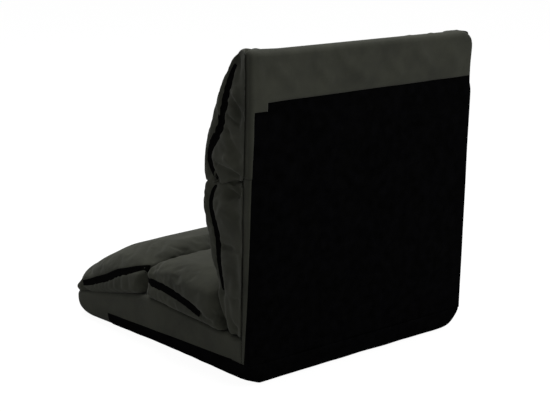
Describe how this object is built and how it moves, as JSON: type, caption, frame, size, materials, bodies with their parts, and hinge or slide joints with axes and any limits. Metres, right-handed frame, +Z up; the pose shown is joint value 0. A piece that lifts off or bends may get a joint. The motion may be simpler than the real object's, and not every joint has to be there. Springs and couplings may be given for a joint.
{
  "type": "folding floor chair",
  "caption": "Legless folding floor chair: padded seat and back of filled cushions on tube frames, joined by ratchet hinges so that the back folds forward or reclines flat.",
  "frame": {"origin": "on the floor, at the middle of the chair's width and midway along the seat's length", "axes": "+Z up, +X to the sitter's left, the sitter faces -Y; the back board stands at the +Y end"},
  "size_m": [0.5404, 0.5783, 0.5795],
  "materials": {
    "suede": "matte",
    "backing": "matte",
    "gusset": "matte",
    "foam": "matte",
    "webbing": "matte",
    "tube": "satin",
    "steel": "satin"
  },
  "bodies": {
    "seat": {"corner_backing_cloth": "backing", "corner_foam": "foam", "hinge_pivot_pins": "steel", "hinge_spacers": "steel", "left_corner_gusset": "suede", "left_hinge_plates": "steel", "left_pawl_spring": "steel", "left_seat_front_gusset": "gusset", "left_seat_rail": "tube", "left_seat_rear_gusset": "gusset", "pawl_pins": "steel", "right_corner_gusset": "suede", "right_hinge_plates": "steel", "right_pawl_spring": "steel", "right_seat_front_gusset": "gusset", "right_seat_rail": "tube", "right_seat_rear_gusset": "gusset", "seat_backing_cloth": "backing", "seat_cross_tube": "tube", "seat_foam_pad": "foam", "seat_frame_rivets": "steel", "seat_front_cushion": "suede", "seat_front_tube": "tube", "seat_rear_cushion": "suede", "seat_suede_cover": "suede", "seat_webbing": "webbing", "spring_posts": "steel"},
    "back": {"back_backing_cloth": "backing", "back_cross_tube": "tube", "back_foam_pad": "foam", "back_frame_rivets": "steel", "back_lower_cushion": "suede", "back_suede_cover": "suede", "back_suede_hood": "suede", "back_top_tube": "tube", "back_upper_cushion": "suede", "back_webbing": "webbing", "left_back_lower_gusset": "gusset", "left_back_rail": "tube", "left_back_upper_gusset": "gusset", "left_gear_arm": "steel", "right_back_lower_gusset": "gusset", "right_back_rail": "tube", "right_back_upper_gusset": "gusset", "right_gear_arm": "steel"},
    "left_pawl": {"left_pawl": "steel"},
    "right_pawl": {"right_pawl": "steel"}
  },
  "joints": [
    {"name": "back_hinge", "type": "hinge", "parent": "seat", "child": "back", "pos_m": [0, 0.24, 0.045], "axis": [1, 0, 0], "range_deg": [-89, 48], "deforming": ["seat_rear_cushion", "back_lower_cushion", "corner_backing_cloth", "left_corner_gusset", "right_corner_gusset", "corner_foam", "left_seat_rear_gusset", "right_seat_rear_gusset", "left_back_lower_gusset", "right_back_lower_gusset"]},
    {"name": "left_pawl_pivot", "type": "hinge", "parent": "seat", "child": "left_pawl", "pos_m": [0.222, 0.22612, 0.02292], "axis": [1, 0, 0], "range_deg": [0, 12], "stiffness_Nm_per_rad": 0.05, "springref_deg": -11.46, "deforming": ["left_pawl_spring"]},
    {"name": "right_pawl_pivot", "type": "hinge", "parent": "seat", "child": "right_pawl", "pos_m": [-0.222, 0.22612, 0.02292], "axis": [1, 0, 0], "range_deg": [0, 12], "stiffness_Nm_per_rad": 0.05, "springref_deg": -11.46, "deforming": ["right_pawl_spring"]}
  ]
}
